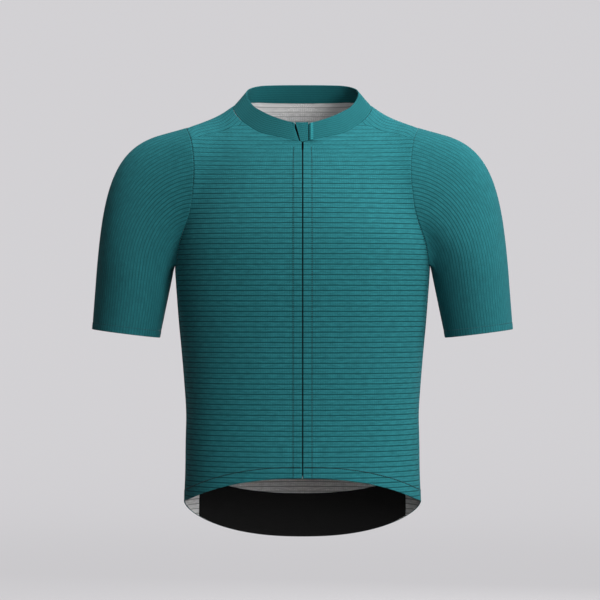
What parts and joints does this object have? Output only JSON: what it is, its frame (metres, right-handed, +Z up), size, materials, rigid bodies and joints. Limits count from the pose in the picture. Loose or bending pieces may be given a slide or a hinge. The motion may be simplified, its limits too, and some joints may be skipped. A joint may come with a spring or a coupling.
{
  "type": "short-sleeved cycling jersey",
  "caption": "Close-fitting short-sleeved cycling jersey, filled out as worn, with a stand collar, full front zip, set-in sleeves, rear pockets and a gripper band inside the longer back hem.",
  "frame": {"origin": "the middle of the shoulder line, between the two shoulder points of the neck seam, where the wearer carries it", "axes": "+Z up from hem to collar, +Y from the front to the back, +X towards the wearer's left"},
  "size_m": [0.588, 0.2316, 0.6453],
  "materials": {
    "body_knit": "fine striped knit, matt",
    "sleeve_knit": "fine ribbed knit, matt",
    "collar_knit": "plain fine knit, matt",
    "gripper_elastic": "woven elastic, matt",
    "zip_tape": "woven tape with moulded teeth",
    "zip_slider_lacquer": "lacquered, satin"
  },
  "bodies": {
    "root": {"front_left": "body_knit", "front_right": "body_knit", "back": "body_knit", "back_pockets": "body_knit", "sleeve_left": "sleeve_knit", "sleeve_right": "sleeve_knit", "collar": "collar_knit", "zip_garage": "collar_knit", "garage_fold": "collar_knit", "hem_gripper": "gripper_elastic", "zip_tape_left": "zip_tape", "zip_tape_right": "zip_tape", "zip_chain": "zip_tape", "zip_slider": "zip_slider_lacquer", "zip_pull": "zip_slider_lacquer"}
  },
  "joints": []
}
